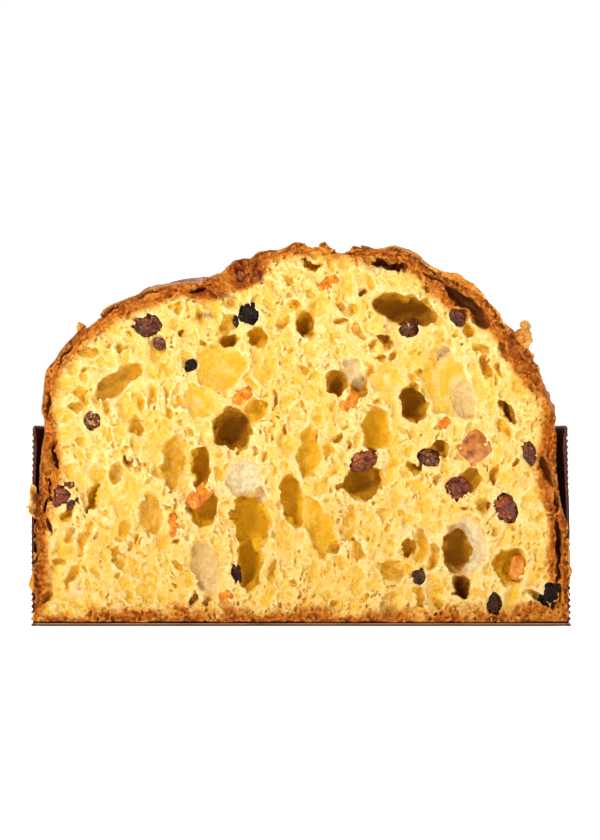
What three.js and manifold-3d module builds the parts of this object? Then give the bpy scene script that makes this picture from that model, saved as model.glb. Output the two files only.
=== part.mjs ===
// Half a low, one-kilogram panettone, cut down the middle and still standing in its paper baking case.
// Millimetres, +Z up. The cut face looks along -Y, and the origin is the middle of the footprint.
//
// The loaf is one baked solid: a domed half round with the open cells of its crumb, and a pocket for
// each raisin and each dice of candied orange that shows on the cut. The case is a corrugated paper
// wall with a pinked rim, glued round a paper base disc.
import * as THREE from "three";
import { mergeVertices } from "three/addons/utils/BufferGeometryUtils.js";
import Module from "manifold-3d";

const wasm = await Module();
wasm.setup();

// ---------------------------------------------------------------- driving dimensions
const caseRadius = 106; // outside of the paper wall
const caseHeight = 77; // to the root of the pinked teeth
const wallThickness = 1.3;
const baseThickness = 1.2;
const toothCount = 132; // pinked teeth round the half rim
const toothHeight = 1.8;
const cornerRound = 7; // how far the rim drops where the knife went through it
const fitGap = 0.4; // between any two pieces that touch
const crumbSetback = 0.8; // the crumb shrinks back from the cut edge of the paper
const raisinProud = 0.3; // and a little further back than the raisins the knife went through

const cutY = -caseRadius / 2; // plane of the paper's cut edges, which holds the round's axis
const faceY = cutY + crumbSetback; // plane of the cut crumb
const wallInner = caseRadius - wallThickness;
const loafRadius = wallInner - fitGap;
const loafBottom = baseThickness + fitGap;

// Half profiles of the dome on the two sides of the cut: [distance from the axis, height].
// Both run from the foot of the loaf, up inside the case, and over the dome to the crown.
const rightProfile = [
  [loafRadius, loafBottom],
  [loafRadius, 24],
  [103.8, 40],
  [101.4, 53],
  [99.9, 63],
  [100.4, 78],
  [98.8, 90],
  [93.2, 101],
  [86, 110],
  [78.5, 118.5],
  [73, 127],
  [63.5, 133],
  [52, 138.6],
  [43, 145.5],
  [33, 148.6],
  [20, 148.6],
  [9, 150.8],
  [0, 150.6],
];
const leftProfile = [
  [loafRadius, loafBottom],
  [loafRadius, 24],
  [103.8, 40],
  [102.6, 60],
  [101.6, 75],
  [102, 87],
  [99.5, 99.5],
  [93, 109],
  [84, 118],
  [73, 126],
  [61, 132],
  [50, 134.8],
  [40.5, 135.6],
  [33, 139],
  [26, 142.8],
  [16, 146.2],
  [5, 149.8],
  [0, 150.6],
];

// Cells of the crumb that are wide enough to matter to the solid, as ellipsoids centred on the cut
// face: [x, z, half width, half height, tilt in degrees, depth].
const cells = [
  [-72, 95.9, 11.5, 4.6, 37, 9],
  [-27, 77, 8, 8.4, 0, 12],
  [-17, 85.6, 4.8, 5, 0, 5],
  [-50.3, 63.5, 4.8, 10.4, 4, 7],
  [-39.4, 63, 4.2, 8.6, 0, 9],
  [-38, 46, 5.6, 7.4, 0, 8],
  [-22.3, 58.8, 6.6, 6.8, 0, 4],
  [-20, 40.5, 7.4, 11, 0, 11],
  [-20.4, 24.5, 5.4, 11, 0, 10],
  [-4, 49.8, 4.6, 11, 6, 8],
  [3, 68, 4.8, 9, 0, 4.5],
  [-17.4, 113.4, 4.2, 4, 0, 6],
  [2, 118.2, 3.9, 5.2, 10, 7],
  [14.1, 95.2, 5, 5.4, 0, 8],
  [40.6, 124.3, 12.4, 5.6, -14, 12],
  [44.2, 87.6, 5.4, 7.8, -8, 10],
  [29.4, 77, 5, 8.4, 0, 6],
  [24.3, 56.6, 8.4, 7, 20, 9],
  [54, 71, 4.2, 3.6, 0, 5],
  [66.4, 58, 4.4, 4.4, 0, 5],
  [63, 32, 8, 10.2, 6, 10],
  [63, 15.4, 3.2, 5.2, 8, 9],
  [35.9, 21.5, 4.7, 4.7, 0, 6],
  [82.2, 24, 6.6, 7, 0, 7],
  [-58.7, 44, 4.4, 8.4, -6, 6],
  [-37.4, 24, 5.4, 10, -8, 5],
  [-31.7, 101, 9.4, 8.6, 0, 3.5],
  [59.8, 94, 8.6, 12.6, 0, 3.5],
  [6.4, 38, 5.6, 11, 16, 4],
  [81.5, 84.4, 1.8, 6.4, 25, 7],
  [34.4, 141.4, 7.2, 1.8, -12, 6],
  [47, 31.8, 3.2, 6.6, 0, 4],
  [-72.7, 60, 3, 4.4, 0, 4],
  [-64.3, 79.2, 2.6, 4.4, 0, 4],
  [-28.6, 117.4, 4.6, 3, 20, 3.5],
  [-81.5, 50.8, 1.8, 6.4, -10, 5],
  [-69.5, 37.4, 2.8, 3.6, 0, 4],
  [-59.7, 14.5, 4.6, 6.4, 0, 2.5],
];

// Raisins: [x, z, half width, half height, tilt in degrees, depth of the middle behind the crumb].
// The knife went through most of them. The ones that lie deeper sit whole in a cell.
const raisins = [
  [-60.4, 118.2, 7, 5, 18, 1.5],
  [-20.9, 122, 5, 4.6, -40, 1],
  [-43.3, 102.6, 3, 2, 50, 0.8],
  [-55.4, 110.8, 2.3, 1.8, 0, 0.6],
  [-82.1, 80.6, 3.9, 4.5, 0, 1.6],
  [-93, 51.5, 4.2, 4.1, 0, 1.2],
  [42.8, 116.2, 5, 4.5, 0, 5.4],
  [61.6, 121.2, 3.2, 4.4, 30, 1.5],
  [24.3, 65.4, 6.2, 3.8, 24, 2.6],
  [50.2, 65.8, 5.6, 4, -22, 1.8],
  [61.2, 53.8, 4.9, 5.1, 10, 1.6],
  [80.4, 46.1, 5.8, 7.3, 22, 1.6],
  [89.5, 67.9, 2.8, 5.3, 10, 1],
  [46.4, 19.3, 2.6, 3.6, 20, 1],
  [76, 8.8, 2.7, 4.7, 0, 1],
  [98, 12, 4.2, 6.3, 0, 1.5],
  [-26.2, 20.6, 2.3, 5, 12, 4.8],
  [-23.6, 137.6, 2.2, 2.8, 0, 1],
];

// Dice of candied orange: [x, z, length, width, tilt in degrees, how far the front lies behind].
const oranges = [
  [-39.8, 51, 11, 6.6, 48, 0.1],
  [-22.9, 90.2, 8.6, 5, 38, -0.3],
  [20, 87.8, 8.4, 7, 60, 0.1],
  [11, 135, 10.6, 4.2, 38, 0.1],
  [56.4, 79.8, 5.2, 3.6, 40, -0.3],
  [68.2, 70, 9.4, 9, 62, -0.2],
  [85, 22.8, 10, 5.6, 82, 0.8],
  [-50.2, 39.6, 10, 4, 96, 0],
  [-29.6, 11.8, 5.6, 4.6, 30, 0],
];
const diceDepth = 6;
const diceBevel = 0.9;

// ---------------------------------------------------------------- colours
const crumbYellow = { color: 0xeec766, roughness: 0.85, metalness: 0 };
const paperBrown = { color: 0x3a1c10, roughness: 0.8, metalness: 0 };
const raisinBrown = { color: 0x3b170d, roughness: 0.35, metalness: 0 };
const orangePeel = { color: 0xe0812c, roughness: 0.35, metalness: 0 };

// ---------------------------------------------------------------- solids from geometries and back
function solidOf(geometry) {
  const bare = geometry.clone();
  bare.deleteAttribute("normal");
  bare.deleteAttribute("uv");
  const merged = mergeVertices(bare, 1e-4);
  return new wasm.Manifold(
    new wasm.Mesh({
      numProp: 3,
      vertProperties: merged.attributes.position.array,
      triVerts: new Uint32Array(merged.index.array),
    }),
  );
}

function geometryOf(solid) {
  const mesh = solid.getMesh();
  const geometry = new THREE.BufferGeometry();
  geometry.setAttribute("position", new THREE.BufferAttribute(mesh.vertProperties, 3));
  geometry.setIndex(new THREE.BufferAttribute(mesh.triVerts, 1));
  geometry.computeVertexNormals();
  return geometry;
}

// Everything in front of a plane of constant Y, as a box to cut away.
function inFrontOf(y) {
  const size = 4 * caseRadius;
  return solidOf(new THREE.BoxGeometry(size, size, size).translate(0, y - size / 2, 0));
}

// Turns a geometry in the plane of the cut, anticlockwise as seen from the front, and moves it there.
function placeOnCut(geometry, x, y, z, tilt) {
  return geometry.rotateY(-THREE.MathUtils.degToRad(tilt)).translate(x, y, z);
}

// ---------------------------------------------------------------- loaf
const profileSteps = 34;
const stepsAround = 60;

// A spline through profile points, sampled evenly.
function sampled(profile) {
  const points = profile.map(([r, z]) => new THREE.Vector2(r, z));
  return new THREE.SplineCurve(points).getPoints(profileSteps);
}

// The whole round loaf: a lathe whose profile eases from the right-hand one to the left-hand one.
function wholeLoaf() {
  const right = sampled(rightProfile);
  const left = sampled(leftProfile);
  const foot = new THREE.Vector2(0, loafBottom);
  const outline = [foot, ...right];
  const geometry = new THREE.LatheGeometry(outline, stepsAround);
  const position = geometry.attributes.position;
  for (let i = 0; i < position.count; i++) {
    const along = i % outline.length;
    const angle = (Math.floor(i / outline.length) / stepsAround) * 2 * Math.PI;
    const toLeft = (1 - Math.cos(angle)) / 2;
    const p = along === 0 ? foot : right[along - 1].clone().lerp(left[along - 1], toLeft);
    position.setXYZ(i, p.x * Math.cos(angle), cutY + p.x * Math.sin(angle), p.y);
  }
  return solidOf(geometry);
}

function cell([x, z, halfWidth, halfHeight, tilt, depth]) {
  const ball = new THREE.SphereGeometry(1, 12, 8).scale(halfWidth, depth, halfHeight);
  return solidOf(placeOnCut(ball, x, faceY, z, tilt));
}

// ---------------------------------------------------------------- fruit
// A raisin: a ball creased by waves that run round it. grow widens it for its pocket.
function raisin([x, z, halfWidth, halfHeight, tilt, depth], number, grow = 0) {
  const halfDepth = Math.min(halfWidth, halfHeight);
  const ball = new THREE.SphereGeometry(1, 10, 7);
  const position = ball.attributes.position;
  const v = new THREE.Vector3();
  for (let i = 0; i < position.count; i++) {
    v.fromBufferAttribute(position, i);
    const crease = Math.sin(3 * v.x + number) * Math.cos(4 * v.z + 2 * number);
    v.multiplyScalar(1 + 0.08 * crease);
    position.setXYZ(i, v.x, v.y, v.z);
  }
  ball.scale(halfWidth + grow, halfDepth + grow, halfHeight + grow);
  return solidOf(placeOnCut(ball, x, faceY + depth, z, tilt));
}

// A dice of candied orange: a block with bevelled edges.
function dice([x, z, length, width, tilt, sunk], grow = 0) {
  const halfLength = length / 2 - diceBevel;
  const halfWidth = width / 2 - diceBevel;
  const section = new THREE.Shape([
    new THREE.Vector2(-halfLength, -halfWidth),
    new THREE.Vector2(halfLength, -halfWidth),
    new THREE.Vector2(halfLength, halfWidth),
    new THREE.Vector2(-halfLength, halfWidth),
  ]);
  const block = new THREE.ExtrudeGeometry(section, {
    depth: diceDepth - 2 * diceBevel,
    bevelThickness: diceBevel + grow,
    bevelSize: diceBevel + grow,
    bevelSegments: 1,
  });
  block.translate(0, 0, diceBevel - diceDepth / 2).rotateX(-Math.PI / 2);
  return solidOf(placeOnCut(block, x, faceY + sunk + diceDepth / 2, z, tilt));
}

// ---------------------------------------------------------------- paper case
// How much the rim drops at a distance along the wall from the nearer cut edge: a quarter round.
function cornerDrop(fromEdge) {
  const left = THREE.MathUtils.clamp(cornerRound - fromEdge, 0, cornerRound);
  return cornerRound - Math.sqrt(cornerRound ** 2 - left ** 2);
}

// The wall: a long flat strip with a toothed top edge, bent into a half round.
function caseWall() {
  const middle = caseRadius - wallThickness / 2;
  const length = Math.PI * middle;
  const steps = 2 * toothCount;
  const strip = new THREE.BoxGeometry(length, wallThickness, caseHeight, steps, 1, 1);
  const position = strip.attributes.position;
  for (let i = 0; i < position.count; i++) {
    const along = position.getX(i) + length / 2;
    const step = Math.round((along / length) * steps);
    const angle = (step / steps) * Math.PI;
    const radius = middle + position.getY(i);
    const fromEdge = Math.min(along, length - along);
    const atRim = position.getZ(i) > 0;
    const tooth = (step % 2) * toothHeight;
    const z = atRim ? caseHeight + tooth - cornerDrop(fromEdge) : 0;
    position.setXYZ(i, -radius * Math.cos(angle), cutY + radius * Math.sin(angle), z);
  }
  return strip;
}

// The base: a half disc laid inside the foot of the wall.
function caseBase() {
  const radius = wallInner - fitGap;
  const outline = new THREE.Shape();
  outline.moveTo(radius, 0);
  outline.absarc(0, 0, radius, 0, Math.PI, false);
  outline.closePath();
  const disc = new THREE.ExtrudeGeometry(outline, {
    depth: baseThickness,
    bevelEnabled: false,
    curveSegments: 48,
  });
  return disc.translate(0, cutY, 0);
}

// ---------------------------------------------------------------- assembly
function named(name, geometry, look) {
  const mesh = new THREE.Mesh(geometry, new THREE.MeshStandardMaterial(look));
  mesh.name = name;
  return mesh;
}

const twoDigits = (n) => String(n).padStart(2, "0");
const panettone = new THREE.Group();

let loaf = wholeLoaf().subtract(inFrontOf(faceY));
for (const row of cells) loaf = loaf.subtract(cell(row));
raisins.forEach((row, i) => {
  const cut = raisin(row, i).subtract(inFrontOf(faceY - raisinProud));
  panettone.add(named(`raisin_${twoDigits(i + 1)}`, geometryOf(cut), raisinBrown));
  loaf = loaf.subtract(raisin(row, i, fitGap));
});
oranges.forEach((row, i) => {
  panettone.add(named(`candied_orange_${twoDigits(i + 1)}`, geometryOf(dice(row)), orangePeel));
  loaf = loaf.subtract(dice(row, fitGap));
});
panettone.add(named("loaf", geometryOf(loaf), crumbYellow));
panettone.add(named("case_wall", caseWall(), paperBrown));
panettone.add(named("case_base", caseBase(), paperBrown));

export default panettone;
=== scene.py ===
"""Half of a low panettone, cut down the middle and standing in its paper baking case.

The loaf is grown as a field of distances: a domed half round, with the open cells of the crumb, the
pockets of the fruit and the wrinkles of the crust taken out of it, which is then skinned as a mesh.
"""
import math

import bmesh
import bpy
import numpy as np
import openvdb
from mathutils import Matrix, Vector


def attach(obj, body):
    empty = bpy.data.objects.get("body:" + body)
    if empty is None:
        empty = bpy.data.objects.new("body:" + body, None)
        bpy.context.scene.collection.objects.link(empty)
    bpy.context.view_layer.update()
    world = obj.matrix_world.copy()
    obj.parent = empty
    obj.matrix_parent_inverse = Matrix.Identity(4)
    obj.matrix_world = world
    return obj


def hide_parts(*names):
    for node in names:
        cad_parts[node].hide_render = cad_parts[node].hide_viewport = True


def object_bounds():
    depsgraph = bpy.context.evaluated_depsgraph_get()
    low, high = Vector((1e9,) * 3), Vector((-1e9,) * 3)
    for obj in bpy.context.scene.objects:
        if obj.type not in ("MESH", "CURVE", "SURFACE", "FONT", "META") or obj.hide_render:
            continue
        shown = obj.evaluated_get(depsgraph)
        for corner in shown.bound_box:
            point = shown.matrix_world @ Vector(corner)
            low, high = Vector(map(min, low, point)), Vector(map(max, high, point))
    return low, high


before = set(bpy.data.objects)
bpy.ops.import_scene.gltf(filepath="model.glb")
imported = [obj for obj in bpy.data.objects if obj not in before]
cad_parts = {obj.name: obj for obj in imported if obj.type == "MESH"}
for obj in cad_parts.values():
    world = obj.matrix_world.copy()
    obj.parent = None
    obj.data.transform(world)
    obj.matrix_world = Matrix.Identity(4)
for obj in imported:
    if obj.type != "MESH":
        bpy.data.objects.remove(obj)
cad_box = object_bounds()
MM = 0.001

# -----------------------------------------------------------------------------
# The studio: a pale floor, a white room, and soft lamps. The key light is high on the left and in
# front, a weaker one on the right opens up the shadows in the crumb, and three more light the crust.
CUT_Y = cad_box[0].y / MM  # the plane of the knife, in millimetres
VIEW_HEIGHT = 329.3  # millimetres that the camera takes in at that plane
EYE_HEIGHT = 80.9
EYE_ACROSS = -0.4
LENS = 135.0
SENSOR = 36.0

scene = bpy.context.scene
scene.view_settings.view_transform = "Standard"


def new_object(name, data):
    """A new object in the scene."""
    made = bpy.data.objects.new(name, data)
    scene.collection.objects.link(made)
    return made


camera = new_object("camera", bpy.data.cameras.new("camera"))
camera.data.lens = LENS
camera.data.sensor_width = SENSOR
eye_distance = VIEW_HEIGHT * LENS / SENSOR
camera.location = Vector((EYE_ACROSS, CUT_Y - eye_distance, EYE_HEIGHT)) * MM
camera.rotation_euler = (math.radians(90), 0, 0)
camera.data.clip_start = 0.05
scene.camera = camera


def new_material(name, **constants):
    """A new material, its node tree and its Principled surface, with some constants set on that."""
    material = bpy.data.materials.new(name)
    material.use_nodes = True
    surface = material.node_tree.nodes["Principled BSDF"]
    for label, value in constants.items():
        surface.inputs[label.replace("_", " ")].default_value = value
    return material, material.node_tree, surface


def add_node(tree, kind, given=None, **settings):
    """A new node, with its properties set and its sockets given values or linked to other sockets."""
    node = tree.nodes.new(kind)
    for name, value in settings.items():
        setattr(node, name, value)
    for name, value in (given or {}).items():
        socket = node.inputs[name]
        if isinstance(value, bpy.types.NodeSocket):
            tree.links.new(value, socket)
        else:
            socket.default_value = value
    return node


def lamp(name, place, size, watts, colour=(1.0, 1.0, 1.0), target=(0, 0, 0.07)):
    """A square soft box that faces a target, which is the middle of the loaf unless told."""
    light = bpy.data.lights.new(name, "AREA")
    light.shape = "SQUARE"
    light.size = size
    light.energy = watts
    light.color = colour
    holder = new_object(name, light)
    holder.location = place
    holder.rotation_euler = (Vector(target) - Vector(place)).to_track_quat("-Z", "Y").to_euler()


lamp("key_light", (-0.95, -1.1, 1.0), 0.45, 19.6, (1.0, 0.985, 0.96))
lamp("fill_light", (1.1, -1.3, 0.35), 1.0, 3.2)
lamp("top_light", (0, 0.15, 1.5), 1.2, 8, target=(0, 0, 0))
lamp("side_light", (1.35, 0.55, 0.75), 0.9, 9)
lamp("back_light", (-0.35, 1.1, 1.5), 0.8, 16)

ROOM_LIGHT = 0.13  # how brightly the room lights the loaf
ROOM_WHITE = 1.05  # how bright its walls look
world = bpy.data.worlds.new("white_room")
scene.world = world
world.use_nodes = True
room = world.node_tree
seen = add_node(room, "ShaderNodeLightPath").outputs["Is Camera Ray"]
glow = add_node(room, "ShaderNodeMapRange", {"Value": seen, "To Min": ROOM_LIGHT, "To Max": ROOM_WHITE})
room.links.new(glow.outputs["Result"], room.nodes["Background"].inputs["Strength"])
room.nodes["Background"].inputs["Color"].default_value = (1, 1, 1, 1)

FLOOR_REACH = 6.0
floor_mesh = bpy.data.meshes.new("floor")
corners = [(x * FLOOR_REACH, y * FLOOR_REACH, 0) for x, y in ((-1, -1), (1, -1), (1, 1), (-1, 1))]
floor_mesh.from_pydata(corners, [], [(0, 1, 2, 3)])
floor = new_object("floor", floor_mesh)
paint = {"Base_Color": (0.9, 0.9, 0.9, 1), "Roughness": 0.9, "Emission_Color": (1, 1, 1, 1)}
floor_paint, tree, surface = new_material("floor_paint", Specular_IOR_Level=0.0, **paint)
place = add_node(tree, "ShaderNodeTexCoord").outputs["Object"]
away = add_node(tree, "ShaderNodeVectorMath", {0: place}, operation="LENGTH").outputs["Value"]
# The floor glows more towards its far end, so that it runs into the white of the room.
lit = {"Value": away, "From Min": 0.12, "From Max": 0.4, "To Min": 0.5, "To Max": 1.1}
sweep = add_node(tree, "ShaderNodeMapRange", lit)
tree.links.new(sweep.outputs["Result"], surface.inputs["Emission Strength"])
floor_mesh.materials.append(floor_paint)

# -----------------------------------------------------------------------------
# The baking case: a strip of dark brown corrugated paper, bent round and glued to a disc of the same
# paper. The flutes run round the wall, its rim is cut with pinking shears, and the knife has gone
# through it together with the loaf.
CASE_RADIUS = 106.0
CASE_TOP = 77.0
WALL = 1.3
FLUTE_PITCH = 2.4
FLUTE_DEPTH = 0.42
TEETH = 132
TOOTH_HEIGHT = 1.7
CORNER = 7.0  # the rim drops this far where the knife crossed it
ROWS_PER_FLUTE = 5
SET_BACK = 0.009  # the paper sprang back from the knife by this much of its bend, and dough covers its edge
FLUTE_ROOM = 0.5  # the flutes stand out this far at most
RIM_SHARE = 0.03  # the share of the height that the pinked teeth take
RIM_CURL = 1.6


def tone(red, green, blue):
    """A colour off a chart, 0 to 255, as the linear light of a shader."""
    linear = [(c / 255 / 12.92) if c < 10.3 else ((c / 255 + 0.055) / 1.055) ** 2.4 for c in (red, green, blue)]
    return (*linear, 1.0)


def sheet_mesh(name, front, back):
    """A closed sheet between two grids of points of the same shape, in millimetres: rows by columns."""
    rows, columns = front.shape[:2]
    index = np.arange(rows * columns).reshape(rows, columns)
    other = index + rows * columns

    def quads(a, b, c, d):
        return np.stack([a, b, c, d], -1).reshape(-1, 4)

    faces = [
        quads(index[:-1, :-1], index[:-1, 1:], index[1:, 1:], index[1:, :-1]),
        quads(other[1:, :-1], other[1:, 1:], other[:-1, 1:], other[:-1, :-1]),
        quads(index[0, 1:], index[0, :-1], other[0, :-1], other[0, 1:]),
        quads(index[-1, :-1], index[-1, 1:], other[-1, 1:], other[-1, :-1]),
        quads(index[:-1, 0], index[1:, 0], other[1:, 0], other[:-1, 0]),
        quads(index[1:, -1], index[:-1, -1], other[:-1, -1], other[1:, -1]),
    ]
    points = np.concatenate([front.reshape(-1, 3), back.reshape(-1, 3)]) * MM
    return mesh_of(name, points, np.concatenate(faces))


def mesh_of(name, points, *faces):
    """A smooth mesh from rows of points, in metres, and tables of faces, each a row of corners."""
    sizes = np.concatenate([np.full(len(table), table.shape[1]) for table in faces])
    corners = np.concatenate([table.ravel() for table in faces])
    mesh = bpy.data.meshes.new(name)
    mesh.vertices.add(len(points))
    mesh.vertices.foreach_set("co", points.astype(np.float32).ravel())
    mesh.loops.add(len(corners))
    mesh.loops.foreach_set("vertex_index", corners.astype(np.int32))
    mesh.polygons.add(len(sizes))
    mesh.polygons.foreach_set("loop_start", (np.cumsum(sizes) - sizes).astype(np.int32))
    mesh.polygons.foreach_set("use_smooth", np.full(len(sizes), True))
    mesh.update(calc_edges=True)
    mesh.validate()
    return mesh


def put_in(mesh, name, slot, *nodes):
    """Makes a piece of the panettone from a mesh: it stands for those solids of the frame."""
    piece = new_object(name, mesh)
    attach(piece, "root")
    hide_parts(*nodes)


def wall_points(outside):
    """One face of the bent wall. The outside follows the flutes, and the inside is the flat liner."""
    share = np.linspace(0, 1, 2 * TEETH + 1)[None, :]
    flutes = int(CASE_TOP / FLUTE_PITCH)
    height = np.linspace(0, 1, flutes * ROWS_PER_FLUTE + 1)[:, None]
    angle = SET_BACK + (math.pi - 2 * SET_BACK) * share
    arc = math.pi * CASE_RADIUS * np.minimum(share, 1 - share)
    short = np.clip(CORNER - arc, 0, CORNER)
    top = CASE_TOP - (CORNER - np.sqrt(CORNER**2 - short**2))
    tooth = TOOTH_HEIGHT * (np.arange(2 * TEETH + 1) % 2)[None, :]
    near_rim = np.clip((height - 1 + RIM_SHARE) / RIM_SHARE, 0, 1)
    z = height * top + near_rim * tooth
    wobble = 0.35 * np.sin(5 * angle + 1) * height + 0.25 * np.sin(13 * angle + 0.5) * height**2
    curl = RIM_CURL * np.clip(1 - arc / 10, 0, 1) ** 2 * height**3
    radius = CASE_RADIUS - FLUTE_ROOM + wobble - curl
    if outside:
        radius = radius + FLUTE_DEPTH * np.sin(2 * math.pi * z / FLUTE_PITCH)
    else:
        radius = radius - (WALL - FLUTE_ROOM) + 0 * z
    return np.stack([-radius * np.cos(angle), CUT_Y + radius * np.sin(angle), z + 0 * angle], -1)


wall_mesh = sheet_mesh("case_wall_paper", wall_points(True), wall_points(False))
put_in(wall_mesh, "fluted_case_wall", "case_paper", "case_wall")

BASE_GAP = 0.4  # between the disc and the wall
BASE_SET_BACK = 0.2  # behind the knife's plane
BASE_THICK = 1.15
BASE_COLUMNS = 106
BASE_ROWS = 265
base_radius = CASE_RADIUS - WALL - BASE_GAP
base_x = np.linspace(-base_radius + 0.05, base_radius - 0.05, BASE_COLUMNS)[None, :]
base_back = np.sqrt(base_radius**2 - base_x**2)
base_y = CUT_Y + BASE_SET_BACK + (base_back - BASE_SET_BACK) * np.linspace(0, 1, BASE_ROWS)[:, None]
flutes_z = 0.34 + 0.3 * np.sin(2 * math.pi * base_y / FLUTE_PITCH + 1)
under = np.stack([base_x + 0 * base_y, base_y, flutes_z], -1)
over = np.stack([base_x + 0 * base_y, base_y, np.full_like(base_y, BASE_THICK)], -1)
base_mesh = sheet_mesh("case_base_paper", over, under)
put_in(base_mesh, "fluted_case_base", "case_paper", "case_base")


def blend(tree, share, first, second, mode="MIX"):
    """Mixes two colours by a share."""
    colours = {0: share, 6: first, 7: second}
    return add_node(tree, "ShaderNodeMix", colours, data_type="RGBA", blend_type=mode).outputs[2]


def noise(tree, scale, detail=3.0, roughness=0.55, kind="ShaderNodeTexNoise", **extra):
    """Noise over the piece's own coordinates, in features per metre."""
    place = add_node(tree, "ShaderNodeTexCoord").outputs["Object"]
    links = {"Vector": place, "Scale": scale}
    if kind == "ShaderNodeTexNoise":
        links |= {"Detail": detail, "Roughness": roughness}
    return add_node(tree, kind, links | extra).outputs[0]


def maths(tree, operation, a, b=0.0, c=0.0):
    """One Math node."""
    return add_node(tree, "ShaderNodeMath", {0: a, 1: b, 2: c}, operation=operation).outputs[0]


def spread(tree, value, low, high, to_low=0.0, to_high=1.0):
    """Maps value from low..high to to_low..to_high, held at the ends."""
    ends = {"Value": value, "From Min": low, "From Max": high, "To Min": to_low, "To Max": to_high}
    return add_node(tree, "ShaderNodeMapRange", ends).outputs["Result"]


def shader_group(name, given, found):
    """A node group with named sockets: (name, kind, value) for those given, (name, kind) for those found."""
    group = bpy.data.node_groups.new(name, "ShaderNodeTree")
    for label, kind, value in given:
        group.interface.new_socket(label, in_out="INPUT", socket_type=kind).default_value = value
    for label, kind in found:
        group.interface.new_socket(label, in_out="OUTPUT", socket_type=kind)
    return group, group.nodes.new("NodeGroupInput").outputs, group.nodes.new("NodeGroupOutput").inputs


FLOAT, COLOUR, VECTOR = "NodeSocketFloat", "NodeSocketColor", "NodeSocketVector"

# Three tones that run into one another in clouds: baked or candied things are never one colour.
clouds = [("Scale", FLOAT, 300.0), ("Detail", FLOAT, 4.0), ("Roughness", FLOAT, 0.6)]
tones = [("Dark", COLOUR, (0, 0, 0, 1)), ("Middle", COLOUR, (0.5, 0.5, 0.5, 1)), ("Light", COLOUR, (1, 1, 1, 1))]
mottle, given, found = shader_group("mottle", clouds + tones, [("Colour", COLOUR)])
cloud = noise(mottle, given["Scale"], given["Detail"], given["Roughness"])
darker = blend(mottle, spread(mottle, cloud, 0.32, 0.52), given["Dark"], given["Middle"])
mottle.links.new(blend(mottle, spread(mottle, cloud, 0.52, 0.72), darker, given["Light"]), found["Colour"])

# The fine relief of a matt surface: grains, with round pits between them and sharp folds where they are
# asked for.
sizes = (("Scale", 1000.0), ("Pits", 0.0), ("Folds", 0.0), ("Strength", 0.4), ("Distance", 0.0004))
inputs = [(label, FLOAT, value) for label, value in sizes]
grainy, given, found = shader_group("grainy", inputs, [("Normal", VECTOR)])
grains = noise(grainy, given["Scale"], 4, 0.6)
pits = noise(grainy, 1, kind="ShaderNodeTexVoronoi", Scale=maths(grainy, "MULTIPLY", given["Scale"], 0.7))
height = maths(grainy, "MULTIPLY_ADD", pits, given["Pits"], grains)
waves = noise(grainy, maths(grainy, "MULTIPLY", given["Scale"], 0.22), 3, 0.5)
folds = maths(grainy, "ABSOLUTE", maths(grainy, "SUBTRACT", waves, 0.5))
height = maths(grainy, "MULTIPLY_ADD", folds, given["Folds"], height)
relief = {"Height": height, "Strength": given["Strength"], "Distance": given["Distance"]}
grainy.links.new(add_node(grainy, "ShaderNodeBump", relief).outputs["Normal"], found["Normal"])


def mottled(tree, scale, dark, middle, light, detail=4.0, roughness=0.6):
    """The mottle group in a material, and its colour."""
    given = {"Scale": scale, "Detail": detail, "Roughness": roughness, "Dark": dark, "Middle": middle, "Light": light}
    return add_node(tree, "ShaderNodeGroup", given, node_tree=mottle).outputs["Colour"]


def roughen(tree, surface, scale, pits, strength, distance, folds=0.0):
    """Gives a material's surface the relief of the grainy group."""
    given = {"Scale": scale, "Pits": pits, "Folds": folds, "Strength": strength, "Distance": distance}
    relief = add_node(tree, "ShaderNodeGroup", given, node_tree=grainy)
    tree.links.new(relief.outputs["Normal"], surface.inputs["Normal"])


case_look, tree, surface = new_material("case_paper", Specular_IOR_Level=0.25)
stains = noise(tree, 38, 3, 0.6)
paper = mottled(tree, 900, tone(50, 20, 9), tone(80, 36, 17), tone(118, 62, 32), 4, 0.7)
paper = blend(tree, spread(tree, stains, 0.5, 0.72, 0, 0.6), paper, tone(38, 16, 8))
# The flat liner of the base shows its pale edge.
place = add_node(tree, "ShaderNodeTexCoord").outputs["Object"]
up = add_node(tree, "ShaderNodeSeparateXYZ", {"Vector": place}).outputs["Z"]
liner_edge = maths(tree, "MULTIPLY", spread(tree, up, 0.0007, 0.0009), spread(tree, up, 0.0013, 0.0012))
liner_edge = maths(tree, "MULTIPLY", liner_edge, spread(tree, stains, 0.3, 0.5, 0.3, 0.9))
paper = blend(tree, liner_edge, paper, tone(198, 142, 94))
tree.links.new(paper, surface.inputs["Base Color"])
tree.links.new(spread(tree, stains, 0.4, 0.7, 0.66, 0.42), surface.inputs["Roughness"])
roughen(tree, surface, 900, 0.0, 0.35, 0.0003)
wall_mesh.materials.append(case_look)
base_mesh.materials.append(case_look)

# -----------------------------------------------------------------------------
# The loaf: one baked piece of sweet yeast dough, cut through the middle. The crumb is cream yellow,
# stretched into tall cells by the rise, and the skin over the dome is baked to a thin, wrinkled,
# caramel-brown crust. Its foot and sides took their shape from the case that it stands in.
FACE_Y = CUT_Y + 0.8  # the crumb shrinks back a little from the knife's plane
GRAIN = 0.46  # spacing of the field across the cut
FINE_DEPTH = 6.0  # how far behind the cut the field stays fine
COARSE = 2.0  # its spacing towards the back
BACK_Y = 54.0
CELL_REACH = 15.0  # no cell lies further behind the cut than this
BEND_STEP = 1.5  # the smooth outside is worked out this far apart, then filled in between

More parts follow.
